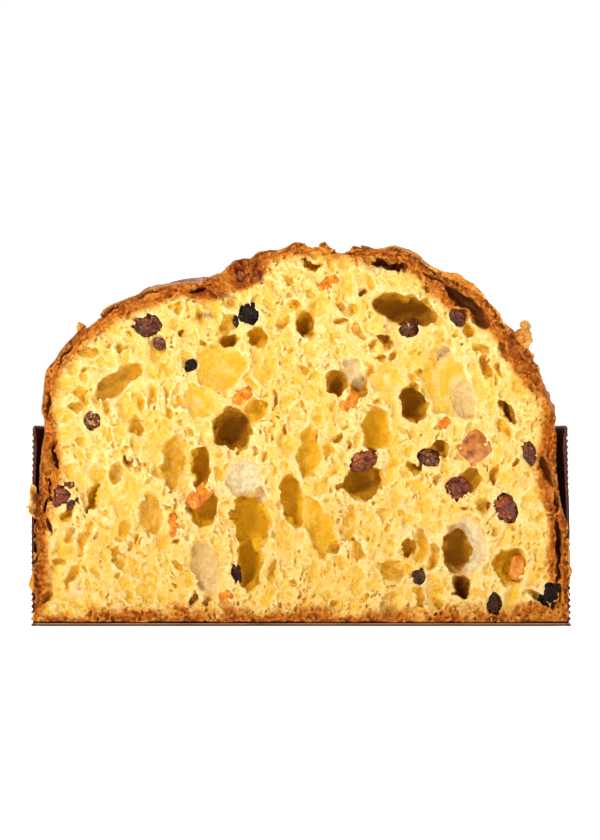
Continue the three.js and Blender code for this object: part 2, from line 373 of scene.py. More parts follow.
# Half outlines of the dome on the two sides: distance from the axis and height.
DOME_RIGHT = [
    (104.2, 1.6), (104.2, 24), (103.8, 40), (101.4, 53), (99.9, 63), (100.4, 78), (98.8, 90), (93.2, 101),
    (86, 110), (78.5, 118.5), (73, 127), (63.5, 133), (52, 138.6), (43, 145.5), (33, 148.6), (20, 148.6),
    (9, 150.8), (0, 150.6),
]
DOME_LEFT = [
    (104.2, 1.6), (104.2, 24), (103.8, 40), (102.6, 60), (101.6, 75), (102, 87), (99.5, 99.5), (93, 109),
    (84, 118), (73, 126), (61, 132), (50, 134.8), (40.5, 135.6), (33, 139), (26, 142.8), (16, 146.2),
    (5, 149.8), (0, 150.6),
]

axis_x = np.arange(-110.0, 110.0, GRAIN)
axis_z = np.arange(-1.2, 155.0, GRAIN)
slices = [FACE_Y - 3 * GRAIN]
while slices[-1] < BACK_Y:
    fine = slices[-1] < FACE_Y + FINE_DEPTH
    grown = GRAIN + 0.055 * (slices[-1] - FACE_Y - FINE_DEPTH)
    slices.append(slices[-1] + (GRAIN if fine else min(COARSE, grown)))
axis_y = np.array(slices)
AXES = (axis_x, axis_y, axis_z)
SHAPE = tuple(len(a) for a in AXES)


def spline_weights(axis, spacing):
    """Cubic B-spline weights that spread a coarse row of numbers along an axis."""
    place = (axis - axis[0]) / spacing
    first = np.floor(place).astype(int)
    t = place - first
    weights = np.zeros((len(axis), first[-1] + 4), np.float32)
    shares = ((1 - t) ** 3, 3 * t**3 - 6 * t**2 + 4, -3 * t**3 + 3 * t**2 + 3 * t + 1, t**3)
    for step, share in enumerate(shares):
        weights[np.arange(len(axis)), first + step] += share / 6
    return weights


def cloudy(spacing, seed, axes=AXES):
    """Smooth random field over the axes, with features about twice the spacing wide and unit spread."""
    spans = [spline_weights(a, spacing) for a in axes]
    lattice = np.random.default_rng(seed).standard_normal([w.shape[1] for w in spans]).astype(np.float32)
    rows = (spans[0] @ lattice.reshape(lattice.shape[0], -1)).reshape(-1, *lattice.shape[1:])
    slabs = np.matmul(spans[1][None], rows)
    field = slabs.reshape(-1, slabs.shape[2]) @ spans[2].T
    field *= 1 / field[::7].std()
    return field.reshape([len(a) for a in axes])


def outline_distance(points, rho, z):
    """Signed distance, in the plane of a half outline, to the outline closed along the axis and foot."""
    curve = []
    corners = [np.array(p, float) for p in points]
    padded = [corners[0], *corners, corners[-1] * (-1, 1)]
    for before, a, b, after in zip(padded, padded[1:], padded[2:], [*padded[3:], padded[-1]]):
        for t in np.arange(0, 1, 0.2):
            bend = (2 * before - 5 * a + 4 * b - after) * t**2
            twist = (3 * a - before - 3 * b + after) * t**3
            curve.append(0.5 * (2 * a + (b - before) * t + bend + twist))
    curve = np.array(curve[: (len(corners) - 1) * 5] + [corners[-1]])
    ring = np.vstack([curve, curve[::-1] * (-1, 1)])
    start, end = ring, np.roll(ring, -1, 0)
    best = np.full(rho.shape, 1e9)
    inside = np.zeros(rho.shape, bool)
    for (ax, az), (bx, bz) in zip(start, end):
        dx, dz = bx - ax, bz - az
        share = np.clip(((rho - ax) * dx + (z - az) * dz) / max(dx * dx + dz * dz, 1e-9), 0, 1)
        best = np.minimum(best, (rho - ax - share * dx) ** 2 + (z - az - share * dz) ** 2)
        crosses = ((az > z) != (bz > z)) & (rho < dx * (z - az) / (dz if dz else 1e-9) + ax)
        inside ^= crosses
    return np.sqrt(best) * np.where(inside, -1, 1)


TABLE_STEP = 0.5
table_rho, table_z = np.meshgrid(np.arange(0, 170, TABLE_STEP), np.arange(-4, 160, TABLE_STEP), indexing="ij")
tables = [outline_distance(dome, table_rho, table_z).astype(np.float32) for dome in (DOME_RIGHT, DOME_LEFT)]


def outer_distance(x, y, z):
    """Signed distance to the smooth outside of the loaf, before the knife: negative inside."""
    rho = np.hypot(x, y - CUT_Y)
    to_left = 0.5 * (1 - x / np.maximum(rho, 1e-6))
    i, j = rho / TABLE_STEP, (z + 4) / TABLE_STEP
    i0 = np.clip(np.floor(i).astype(np.int32), 0, tables[0].shape[0] - 2)
    j0 = np.clip(np.floor(j).astype(np.int32), 0, tables[0].shape[1] - 2)
    u, v = (i - i0).astype(np.float32), (j - j0).astype(np.float32)
    found = []
    for table in tables:
        low = table[i0, j0] * (1 - u) + table[i0 + 1, j0] * u
        high = table[i0, j0 + 1] * (1 - u) + table[i0 + 1, j0 + 1] * u
        found.append(low * (1 - v) + high * v)
    return (found[0] * (1 - to_left) + found[1] * to_left).astype(np.float32)


def smooth_max(a, b, width):
    """The larger of two fields, with the corner between them rounded."""
    h = np.maximum(width - np.abs(a - b), 0) / width
    return np.maximum(a, b) + h * h * width * 0.25


def between(axis, spacing):
    """Evenly spaced places that cover an axis, and the weights that interpolate from them to it."""
    coarse = np.arange(axis[0], axis[-1] + spacing, spacing)
    place = (axis - axis[0]) / spacing
    first = np.minimum(np.floor(place).astype(int), len(coarse) - 2)
    weights = np.zeros((len(axis), len(coarse)), np.float32)
    weights[np.arange(len(axis)), first] = 1 - (place - first)
    weights[np.arange(len(axis)), first + 1] = place - first
    return coarse.astype(np.float32), weights


grid_x, grid_y, grid_z = np.meshgrid(*[a.astype(np.float32) for a in AXES], indexing="ij", sparse=True)
(coarse_x, from_x), (coarse_z, from_z) = between(axis_x, BEND_STEP), between(axis_z, BEND_STEP)
coarse_skin = outer_distance(*np.meshgrid(coarse_x, axis_y.astype(np.float32), coarse_z, indexing="ij"))
coarse_skin = (from_x @ coarse_skin.reshape(len(coarse_x), -1)).reshape(-1, len(coarse_z))
skin = (coarse_skin @ from_z.T).reshape(SHAPE)

# The crust buckles as it cools: broad swells, and a net of wrinkles that is sharp on the dome and
# smooth where the case held the dough.
on_dome = np.clip((grid_z - CASE_TOP + 6) / 14, 0, 1)
swells = cloudy(11, 21)
skin -= 0.25 * swells + on_dome * 0.9 * (swells + 0.8 - np.abs(cloudy(6.5, 23)))
skin -= on_dome * 0.45 * (0.8 - np.abs(cloudy(3.2, 22)))
# The dough below bulges a little past the paper where the knife freed it.
skin -= 1.0 * np.clip((48 + 3 * swells - grid_z) / 5, 0, 1) * np.clip((FACE_Y + 2.5 - grid_y) / 2, 0, 1)
foot = axis_z < 4
sole = 1.62 + 0.12 * cloudy(4, 30, (axis_x, axis_y, axis_z[:2]))[:, :, :1]
skin[:, :, foot] = np.maximum(skin[:, :, foot], sole - grid_z[:, :, foot])

# Torn crumb: the knife leaves the cut face slightly rough, and the walls of the cells are bent.
LAYERS = int(np.searchsorted(axis_y, FACE_Y + CELL_REACH))  # the slices that the cells reach
FRONT = (axis_x, axis_y[:LAYERS], axis_z)
granular = np.clip((6.5 + skin[:, :LAYERS]) / 4, 0, 1) + np.clip((13 - grid_z) / 6, 0, 1)
rough = (0.09 + 0.38 * np.minimum(granular, 1)) * cloudy(0.8, 24, FRONT) + 0.3 * cloudy(3.2, 25, FRONT)
warp_x = 0.7 * cloudy(2.6, 26, FRONT) + 0.32 * cloudy(0.9, 28, FRONT)
warp_z = 0.7 * cloudy(2.6, 27, FRONT) + 0.32 * cloudy(0.9, 29, FRONT)
loaf_field = skin
loaf_field[:, :LAYERS] = smooth_max(skin[:, :LAYERS], FACE_Y - grid_y[:, :LAYERS] + rough, 0.5)


def turned(x, z, tilt):
    """How far x and z reach along and across a direction tilted by some degrees."""
    c, s = math.cos(math.radians(tilt)), math.sin(math.radians(tilt))
    return c * x + s * z, c * z - s * x


def carve(centre, radii, tilt=0.0, warp=1.0, rim=0.5, add=False):
    """Takes an ellipsoid, bent by the warp, out of the loaf, or adds it. centre and radii are in x, y, z order."""
    reach = max(radii) + 1.6
    box = []
    for axis, middle in zip(FRONT, centre):
        box.append(slice(np.searchsorted(axis, middle - reach), np.searchsorted(axis, middle + reach)))
    box = tuple(box)
    if min(s.stop - s.start for s in box) < 1:
        return
    dx = grid_x[box[0]] - centre[0] + warp * warp_x[box]
    dy = grid_y[:, box[1]] - centre[1]
    dz = grid_z[:, :, box[2]] - centre[2] + warp * warp_z[box]
    along, across = turned(dx, dz, tilt)
    parts = (along, dy, across)
    k0 = np.sqrt(sum((p / r) ** 2 for p, r in zip(parts, radii)))
    k1 = np.sqrt(sum((p / r**2) ** 2 for p, r in zip(parts, radii))) + 1e-4
    if add:
        loaf_field[box] = -smooth_max(-loaf_field[box], -k0 * (k0 - 1) / k1, rim)
    else:
        loaf_field[box] = smooth_max(loaf_field[box], -k0 * (k0 - 1) / k1, rim)


# The wide cells, blown by the strongest bubbles: across, up, half width, half height, tilt, depth, and
# the look of their walls: 0 like the crumb, 1 smooth and golden, 2 olive and dim, the dimness painted
# shade that grows with depth, 3 a greyish film.
CELLS = [
    (-72, 95.9, 11.5, 4.5, 37, 4.8, 2), (-87.4, 91.7, 1.6, 2.8, -30, 3, 1), (-85.3, 89.6, 1.8, 5, -20, 3.5, 1),
    (-88.8, 85.4, 1.7, 2.8, 0, 3, 1), (-27, 77, 8, 8.6, 0, 12, 2), (-17, 85.4, 5, 5.5, 0, 5, 1),
    (-50.3, 63.5, 4.9, 10.5, -5, 4.2, 2), (-39.4, 62.8, 4.2, 8.6, 0, 10, 1), (-38, 46, 5.6, 7.7, 0, 8, 1),
    (-22.3, 58.6, 7.2, 8, 0, 3, 3), (-14.6, 52.3, 3.3, 4.4, 0, 5, 3), (-20, 41.7, 7.5, 12, 0, 11, 1),
    (-20.4, 25.3, 5.2, 12, 0, 11, 1), (-3.9, 49.8, 4.4, 11, 10, 8, 1), (3.1, 68, 5, 10, 0, 4.5, 1),
    (6, 40, 6, 13, 20, 4, 1), (-31.7, 101, 10, 9.5, 0, 3.5, 1), (-40, 88, 7, 7, 0, 2.5, 1),
    (-6.3, 118.7, 2.4, 2.4, 0, 3, 1), (2, 118.2, 3.9, 5.5, 0, 7, 2), (14.1, 95.2, 4.8, 5.6, 0, 8, 2),
    (23, 93.9, 3.2, 5, 0, 6, 2), (20.6, 99.6, 3.6, 6.5, 25, 4, 3), (26.9, 100.4, 2, 4.3, 0, 3, 1),
    (40.6, 124.3, 12.7, 5.8, -15, 12, 2), (55.8, 106.9, 3.3, 3.3, 0, 5, 3), (56.5, 96, 8.5, 14, 12, 3.2, 1),
    (63.5, 89.5, 4.8, 9, 12, 5.2, 3),
    (44.2, 87.6, 5.4, 8, 10, 10, 2), (29.4, 77, 5, 8.7, 0, 6, 1), (24.3, 57, 8.3, 7.3, 20, 9, 2),
    (44.6, 62.8, 4, 2.5, -25, 7, 1), (54, 70, 4.5, 4, 0, 6, 2), (66.3, 57.8, 4.5, 5, 0, 5, 2),
    (71.3, 46.8, 3.5, 3.5, 0, 4, 1), (34.4, 141.7, 7.3, 1.8, -12, 8, 2), (4.3, 141.3, 4.3, 2, 0, 6, 1),
    (65.6, 117, 2.3, 3.4, 0, 4, 1), (81.5, 84.4, 1.8, 6.5, 25, 8, 2), (72.8, 101.8, 2, 5.5, 20, 5, 1),
    (71, 109, 3.5, 1.8, -35, 3, 1), (78.3, 100.3, 1.5, 3.5, 30, 3, 1), (-64.3, 79.1, 2.6, 4.6, 0, 4, 1),
    (-63.6, 88.6, 1.9, 2.3, 0, 2.5, 1), (-48.2, 88.4, 1.3, 2.2, 0, 2, 1), (-81.5, 50.8, 1.7, 6.5, -10, 6, 1),
    (-91, 44.5, 2.2, 4, -20, 4, 1), (-85, 34.7, 2.2, 7, -25, 2.5, 0), (-89.1, 19.4, 2.2, 7, -30, 2.5, 0),
    (-90.6, 36.1, 1.4, 3, 0, 2.5, 0), (-72.7, 60, 3, 4.5, 0, 4, 1), (-68.5, 64.5, 1, 3, 20, 4, 0),
    (-58.7, 43.9, 4.7, 9, 0, 3.4, 2), (-69.5, 38.2, 2.9, 3.6, 0, 2.4, 1), (-72, 27, 2.8, 4, 0, 3, 0),
    (-94.4, 24.9, 2.6, 2.4, 0, 3, 0), (-37.4, 22.9, 5.6, 11, 15, 5, 3), (-42.6, 10.9, 2.2, 2.8, 0, 4, 0),
    (-37, 10.2, 1.9, 1.5, 0, 4, 0), (65.3, 31.4, 7.9, 11.2, 0, 3.2, 3), (61.9, 30.4, 7.1, 9.8, 0, 10, 2),
    (63.2, 14.8, 3.4, 5.6, 10, 11, 2),
    (35.9, 21.5, 4.7, 4.7, 0, 3.4, 2), (82.2, 23.7, 6.5, 7.2, 0, 7, 1), (42, 30.2, 2.7, 3.8, -20, 6, 1),
    (47, 32.3, 3.2, 7, 0, 4, 1), (51.8, 27.3, 2, 5.5, 0, 4, 0), (10.5, 69.3, 2.5, 3.5, 0, 3, 0),
    (18.8, 71.1, 1.5, 2, 0, 3, 0), (14.8, 73, 1.9, 2.3, 0, 3, 0), (15.6, 54.1, 1.6, 2.8, 0, 3, 0),
    (12.7, 30.9, 2.4, 4.5, 20, 4, 1), (21, 33.5, 1.6, 1.8, 0, 3, 0), (19.2, 39.6, 3, 8, 0, 2.5, 0),
    (46.7, 11.4, 2.2, 5, 20, 3, 0), (54.3, 9.2, 2, 3, 0, 3, 0), (75.7, 59.2, 2, 4.5, 0, 3.5, 0),
    (62.7, 45.4, 2.2, 1.8, 0, 3, 0), (24.3, 130.8, 2.6, 1.8, 0, 4, 1), (15.2, 125, 2.4, 1.7, 0, 3, 0),
    (16.6, 119.2, 2.6, 1.9, 0, 3, 0), (32.6, 112.3, 3.7, 2.4, -30, 5, 2), (27.1, 110.5, 2.3, 2, 0, 3, 0),
    (31.5, 106.1, 2.4, 2.1, 0, 3, 0), (36.2, 106.5, 1.8, 2.3, 0, 3, 0), (46.7, 100.3, 1.9, 2.1, 0, 3, 0),
    (34.4, 96.7, 6, 8, 0, 2.5, 0), (79.3, 77.5, 2.2, 4.5, 20, 3, 0), (-70.2, 108.2, 2.7, 1.4, 0, 2, 0),
    (-47.2, 115.2, 1.9, 2, 0, 3, 0), (-38.4, 110.6, 2, 1.9, 0, 3, 0), (-28.6, 118.7, 5, 3.2, 20, 3.5, 1),
    (-28.6, 112.4, 3.5, 2.7, 25, 6, 2), (-17.4, 113.5, 4.2, 4, 0, 6, 1), (-49.6, 124.6, 2.6, 1.2, 15, 2.5, 0),
    (-4.8, 76.3, 1.8, 2.8, 0, 3, 0), (-10, 90.4, 1.2, 3.4, 0, 3, 0), (-59.7, 14.5, 5, 7, 0, 2.5, 0),
    (-99.3, 10.6, 1.8, 2.8, -30, 3, 0), (-103.1, 29.2, 1, 3, 0, 2, 0), (93.1, 10.6, 1.2, 5.5, 35, 4, 2),
    (-49.3, 33, 1.2, 1.3, 0, 3, 2),
]
for x, z, half_width, half_height, tilt, depth, look in CELLS:
    sunk = 0.12 * depth
    carve((x, FACE_Y + sunk, z), (half_width, depth - sunk, half_height), tilt, warp=1.0, rim=0.4)

# The small cells fill the crumb between the wide ones. They are tall in the middle of the loaf and lie
# along the crust near it. First come shallow bowls, where the knife only grazed a cell, then rounder
# and smaller cells: how many, radii, how far their middles lie behind the cut as a share of the
# radius, and how close two may come.
PORES = (
    (450, 3.0, 6.5, -0.8, -0.5, 0.75),
    (480, 1.5, 2.8, -0.65, 0.2, 0.9),
    (1500, 0.9, 1.5, -0.5, 0.5, 0.95),
    (6000, 0.5, 0.9, -0.3, 0.7, 1.0),
    (5000, 0.36, 0.5, 0.0, 0.7, 1.3),
)
rng = np.random.default_rng(31)
cell_rows = np.array(CELLS)
for count, least, most, front, rear, apart in PORES:
    placed = np.zeros((count, 3))
    number = 0
    spots = rng.uniform((-103, 3), (103, 149), (count, 2))
    rinds = -outer_distance(spots[:, 0], np.full(count, FACE_Y), spots[:, 1])
    for (x, z), rind in zip(spots, rinds):
        radius = least + (most - least) * rng.random() ** 1.6
        stretch = rng.uniform(1.0, 1.9)
        behind = rng.uniform(front, rear) * radius
        lean = rng.normal(0, 14) - 32 * (x / 90) * (1 - z / 150)
        deep = radius + behind
        if rind < 1.6 + 0.8 * radius or (z < 8 and radius > 1.2) or (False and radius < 0.7):
            continue
        from_cells = (np.array((x, z)) - cell_rows[:, :2]) / (cell_rows[:, 2:4] + 0.3 * radius)
        if (from_cells**2).sum(1).min() < 1:
            continue
        near = np.hypot(placed[:number, 0] - x, placed[:number, 1] - z) < apart * (placed[:number, 2] + radius)
        if near.any():
            continue
        placed[number] = x, z, radius
        number += 1
        tall = 90 + lean
        if z > 60:
            by_crust = max(0, 1 - rind / 18)
            tall += by_crust * (90 + math.degrees(math.atan2(-x, z - 40)))
        carve((x, FACE_Y + behind, z), (radius * stretch, radius, radius / stretch**0.4), tall, warp=0.8, rim=0.2)

# The crust tore here and there as the knife came through. The tears are gaps under it and slits along
# it: across, up, half width, half height, tilt and depth. The curls are the crumbs and flakes that it
# left standing: across, up, behind the cut, half width, half height and tilt.
TEARS = [
    (64.6, 127.2, 11, 2.6, -38, 6), (70.5, 120.6, 5, 2.4, -55, 4), (101, 33, 1.3, 9, 4, 6),
    (101.3, 23, 0.7, 7, -2, 4), (97, 60.5, 2.2, 7.5, 24, 3.5), (100.5, 49, 0.8, 4, 10, 5),
    (-96.4, 66.2, 0.8, 6, 6, 5), (-98.6, 54.7, 0.7, 2.6, -8, 4), (-100, 47.4, 0.7, 3.2, -10, 4),
    (-98.4, 39.8, 0.8, 3.8, 8, 4), (-39.8, 131.6, 3, 1.0, -8, 4), (98.5, 96.5, 0.8, 6, 30, 5),
    (-92, 107, 4.6, 0.7, 52, 4), (-77, 122.4, 6, 0.7, 32, 3), (-60, 130.5, 7, 0.7, 14, 3), (17, 147, 6, 0.6, -4, 3),
    (52, 136.2, 6, 0.7, -28, 3), (-99.5, 87, 0.7, 5, -4, 3), (102, 13, 0.7, 4, 0, 3), (85.3, 107.7, 4.6, 0.7, -56, 3),
]
CURLS = [
    (-85.8, 117.2, 1.6, 1.6, 1.3, 20), (-84.2, 115.6, 1.2, 1.8, 1.6, 60), (-37.6, 136.4, 1.8, 1.5, 0.7, -50),
    (-36.6, 135.2, 1.4, 1.2, 0.8, 10), (84, 105, 2.2, 3.2, 4.0, 0), (85.6, 109.6, 2.4, 4.0, 3.4, 30),
    (87.2, 113.8, 2.2, 3.2, 3.2, 0), (83.6, 112.4, 1.6, 2.2, 2.4, 0), (89.2, 110.6, 1.6, 1.6, 3.0, -20),
    (87.8, 118.0, 2.0, 1.5, 2.2, 10), (8.4, 151.2, 1.8, 1.5, 1.0, 20), (27, 148.2, 1.6, 2.8, 0.8, -10),
    (-105.2, 50.5, -0.4, 1.6, 4.0, 8), (-104.6, 45.4, -0.2, 2.0, 2.6, 0), (-107.2, 47.6, -0.2, 1.5, 0.9, 20),
    (-103.4, 38.8, 0.0, 2.0, 3.2, 0), (104.2, 20, 0.2, 1.2, 5, 0), (-104, 16, 0.2, 1.2, 6, 0),
]
for x, z, half_width, half_height, tilt, depth in TEARS:
    carve((x, FACE_Y + 0.3, z), (half_width, depth, half_height), tilt, warp=0.7, rim=0.3)
for x, z, behind, half_width, half_height, tilt in CURLS:
    thick = 1.1 + 0.4 * min(half_width, half_height)
    carve((x, FACE_Y + behind, z), (half_width, thick, half_height), tilt, warp=0.9, rim=0.5, add=True)

# The dough closed round each piece of fruit and left a pocket when it was cut.
fruit = {name: node for name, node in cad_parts.items() if name not in ("loaf", "case_wall", "case_base")}
# Raisins that swelled in the oven, and how many times over, as seen on the cut.
SWOLLEN = {"raisin_06": 1.5, "raisin_12": 1.1, "raisin_11": 1.1, "raisin_04": 1.3, "raisin_09": 1.1}


def lie_of(node):
    """Middle, half sizes and tilt of a piece of fruit, from its solid: the long way as seen on the cut."""
    points = np.array([v.co for v in node.data.vertices]) / MM
    middle = (points.min(0) + points.max(0)) / 2
    flat = (points - middle)[:, (0, 2)]
    values, ways = np.linalg.eigh(flat.T @ flat)
    way = ways[:, 1] * (1 if ways[0, 1] >= 0 else -1)
    along, across = flat @ way, flat @ np.array((-way[1], way[0]))
    swollen = SWOLLEN.get(node.name, 1.0)
    half = (swollen * np.ptp(along) / 2, np.ptp(points[:, 1]) / 2, swollen * np.ptp(across) / 2)
    return middle, half, math.degrees(math.atan2(way[1], way[0]))


for name, node in sorted(fruit.items()):
    middle, half, tilt = lie_of(node)
    pocket = [h * (0.97 if name.startswith("raisin") else 0.93) for h in half]
    pocket[1] = max(half[1], middle[1] - FACE_Y) + 1.0
    carve(middle, pocket, tilt, warp=0.3, rim=0.3)

FIELD_LIMIT = 2.0  # distances further from the surface than this don't matter
PLAIN_SAVING = 0.2  # how far plain stretches are thinned out, 0 to 1


def skinned(field, axes, name):
    """The surface where a field is zero, as a smooth mesh in metres, with fewer points where it is plain."""
    grid = openvdb.FloatGrid(FIELD_LIMIT)
    grid.copyFromArray(np.clip(field, -FIELD_LIMIT, FIELD_LIMIT).astype(np.float32))
    points, triangles, quads = grid.convertToPolygons(isovalue=0.0, adaptivity=PLAIN_SAVING)
    places = np.stack([np.interp(points[:, i], np.arange(len(a)), a) for i, a in enumerate(axes)], 1)
    return mesh_of(name, places * MM, quads[:, ::-1], triangles[:, ::-1])


loaf_mesh = skinned(loaf_field, AXES, "loaf_crumb")
put_in(loaf_mesh, "half_loaf", "crumb", "loaf")


def vertex_places(mesh):
    """The points of a mesh, in millimetres."""
    places = np.zeros(len(mesh.vertices) * 3, np.float32)
    mesh.vertices.foreach_get("co", places)
    return places.reshape(-1, 3) / MM


def paint_points(mesh, name, values):
    """Stores one number for each point of a mesh, for its material to read."""
    layer = mesh.attributes.new(name, "FLOAT", "POINT")
    layer.data.foreach_set("value", np.asarray(values, np.float32))


def attribute(tree, name):
    """The number that the mesh holds under a name."""
    return add_node(tree, "ShaderNodeAttribute", attribute_name=name).outputs["Fac"]


def ramp(tree, value, *stops):
    """A colour ramp over value, from stops: a position, then red, green and blue for tone."""
    node = add_node(tree, "ShaderNodeValToRGB", {"Fac": value})
    bar = node.color_ramp
    while len(bar.elements) < len(stops):
        bar.elements.new(0.5)
    for element, (position, *colour) in zip(bar.elements, stops):
        element.position = position
        element.color = tone(*colour)
    return node.outputs["Color"]


FINE_REACH = 0.55  # how far round a point the fine shade looks, in millimetres
WIDE_REACH = 2.2


def buried(reach):
    """The share of dough within reach, in millimetres, over the front of the field: a half on a plain face."""
    share = (loaf_field[:, :LAYERS] < 0).astype(np.float32)
    width = max(1, round(reach / GRAIN))
    for axis in (0, 1, 2, 0, 1, 2):
        padding = [(0, 0)] * 3
        padding[axis] = (width + 1, width)
        sums = np.cumsum(np.pad(share, padding, mode="edge"), axis=axis)
        size = share.shape[axis]
        ahead = np.take(sums, range(2 * width + 1, 2 * width + 1 + size), axis)
        share = (ahead - np.take(sums, range(size), axis)) / (2 * width + 1)
    return share


def sampled(field, places, beyond):
    """The numbers of a field over the front of the loaf at rows of places, and a number beyond it."""
    index = []
    for i, axis in enumerate(FRONT):
        index.append(np.clip(np.searchsorted(axis, places[:, i] - GRAIN / 2), 0, len(axis) - 1))
    return np.where(places[:, 1] < FRONT[1][-1], field[tuple(index)], beyond)


CURL_RIND = 4.4  # curls and stuck crumbs are as brown as the crumb this far under the skin
places = vertex_places(loaf_mesh)
# Shares of dough round each point: the crumb material paints them as shade in pits and cells, and as highlight on
# ridges.
paint_points(loaf_mesh, "fine_shade", sampled(buried(FINE_REACH), places, 0.5))
paint_points(loaf_mesh, "wide_shade", sampled(buried(WIDE_REACH), places, 0.5))
rind = -outer_distance(places[:, 0], places[:, 1], places[:, 2])
behind_cut = places[:, 1] - FACE_Y
# The skin is thin at the cut, and everything that shows further back is skin.
skin_ends = 2.2 + 7 * np.clip((behind_cut - 8) / 7, 0, 1)
outside = np.clip((skin_ends - rind) / 0.8, 0, 1) * np.clip((behind_cut - 0.5) / 0.8, 0, 1)
torn_off = (rind < -0.6) & (behind_cut < 5)
outside = np.where(torn_off, 0, outside)
rind = np.where(torn_off, CURL_RIND, rind)
paint_points(loaf_mesh, "outside", outside)

# Places where the browning reaches further in: across, up, half width, half height, and how far.
BROWNED = [
    (-23, 136.5, 8, 7, 9), (66, 127, 17, 9, 6), (88, 106, 8, 14, 4), (-33, 134, 13, 8, 5), (98, 60, 7, 14, 4),
    (100, 30, 4, 20, 3), (-62, 129, 20, 6, 2), (-97, 62, 5, 14, 3), (94, 7, 8, 6, 4),
]
# Dark red spots, where juice from the fruit burnt: across, up, half width, half height, and how dark.
SCORCHED = [
    (-24.5, 140.5, 2.6, 3.6, 1), (-18, 141.2, 2.2, 3.6, 1), (-21.5, 136.4, 5, 2.4, 0.8), (-16.3, 137.6, 1.4, 3.2, 1),
    (-32.8, 129.6, 5.5, 1.8, 0.7), (-38, 121.6, 3.6, 1.6, 0.7), (-40, 131.4, 3.4, 1.4, 0.9), (82.5, 112, 1.5, 4, 0.8),
    (34.4, 141.7, 8, 2.4, 0.6),
]


def patches(spots):
    """A soft mark, 0 to its strength, at the points of the cut near each of some spots."""
    mark = np.zeros(len(places))
    for x, z, half_width, half_height, strength in spots:
        away = np.hypot((places[:, 0] - x) / half_width, (places[:, 2] - z) / half_height)
        mark = np.maximum(mark, strength * np.clip(1.5 - away, 0, 1))
    return mark * (behind_cut < 14)


rind = np.where(torn_off, rind, np.maximum(rind - patches(BROWNED), np.minimum(rind, 1.9)))
# The browned foot is uneven, with pale crumb reaching down into it.
blots = sampled(cloudy(3.6, 61, FRONT), places, 0) + 0.6 * sampled(cloudy(1.2, 62, FRONT), places, 0)
near_foot = np.clip((11 - places[:, 2]) / 6, 0, 1) * (behind_cut < 4)
rind = rind + near_foot * (0.9 + 1.1 * blots)
paint_points(loaf_mesh, "scorched", patches(SCORCHED))
walls = {look: np.zeros(len(places)) for look in (1, 2, 3)}
for x, z, half_width, half_height, tilt, depth, look in CELLS:
    if look:
        along, across = turned(places[:, 0] - x, places[:, 2] - z, tilt)
        away = np.sqrt((along / half_width) ** 2 + (across / half_height) ** 2)
        blur = 0.35 if look == 3 else 0.25
        # For olive walls the strength grows with depth: painted shade.
        strength = {1: min(1, max(0.25, (depth - 1) / 5)), 2: min(1, depth / 6.5), 3: 2.8 / depth}[look]
        inside = np.clip((1.15 - away) / blur, 0, 1) * np.clip((behind_cut - 0.3) / 1.2, 0, 1)
        walls[look] = np.maximum(walls[look], strength * inside * (behind_cut < depth + 3))
paint_points(loaf_mesh, "rind", rind)
# How far behind the cut each point lies: the material paints deeper places darker, as shade.
paint_points(loaf_mesh, "depth", behind_cut)
for label, look in (("golden", 1), ("olive", 2), ("film", 3)):
    paint_points(loaf_mesh, label, walls[look])

moist = {"Subsurface_Weight": 0.15, "Subsurface_Radius": (1.0, 0.6, 0.2), "Subsurface_Scale": 0.0014}
crumb_look, tree, surface = new_material("crumb_and_crust", Specular_IOR_Level=0.08, Coat_Roughness=0.35, **moist)
flecks = noise(tree, 1500, 3, 0.65)
streaks = noise(tree, 420, 3, 0.6)
# Painted shade: the crumb is painted darker where more dough closes round it and further behind the cut, standing in
# for the shade inside cells and pits.
wide = maths(tree, "MULTIPLY_ADD", streaks, 0.16, maths(tree, "ADD", attribute(tree, "wide_shade"), -0.08))
wide = maths(tree, "MULTIPLY_ADD", spread(tree, attribute(tree, "depth"), 0, 4), 0.12, wide)
fine = maths(tree, "MULTIPLY_ADD", flecks, 0.34, maths(tree, "ADD", attribute(tree, "fine_shade"), -0.17))
pale_tones = (0.40, 248, 213, 134), (0.52, 244, 202, 108), (0.63, 236, 188, 72)
crumb = ramp(tree, wide, *pale_tones, (0.76, 219, 164, 36), (0.94, 156, 103, 10))
# Painted highlight: raised ridges, with little dough round them, are painted paler cream; partly the pale torn
# fringes of the crumb, partly light caught on them.
crumb = blend(tree, spread(tree, fine, 0.47, 0.29, 0, 0.8), crumb, tone(250, 228, 172))
# Painted shade: small enclosed pits are painted a darker amber.
crumb = blend(tree, spread(tree, fine, 0.60, 0.86, 0, 0.75), crumb, tone(176, 116, 20))
veils = spread(tree, noise(tree, 120, 5, 0.7), 0.55, 0.64, 0, 0.5)
crumb = blend(tree, veils, crumb, tone(232, 206, 158))
# Painted shade: tiny darker dots stand in for the shade inside pinholes too small for the mesh.
pinhole_shade = spread(tree, noise(tree, 1, kind="ShaderNodeTexVoronoi", Scale=760.0), 0.34, 0.16, 0, 0.4)
crumb = blend(tree, pinhole_shade, crumb, tone(204, 146, 40))
# The rise pulled the crumb into upright strands.
place = add_node(tree, "ShaderNodeTexCoord").outputs["Object"]
pulled = add_node(tree, "ShaderNodeMapping", {"Vector": place, "Rotation": (0, 0.15, 0), "Scale": (1, 1, 0.32)})
strands = spread(tree, noise(tree, 210, 3, 0.55, Vector=pulled.outputs["Vector"]), 0.50, 0.62, 0, 0.55)
crumb = blend(tree, strands, crumb, tone(242, 188, 52))
warmth = spread(tree, noise(tree, 45, 2), 0.35, 0.7, 0, 0.3)
crumb = blend(tree, warmth, crumb, tone(252, 226, 130), "MULTIPLY")
specks = spread(tree, noise(tree, 1, kind="ShaderNodeTexVoronoi", Scale=620.0), 0.22, 0.12)
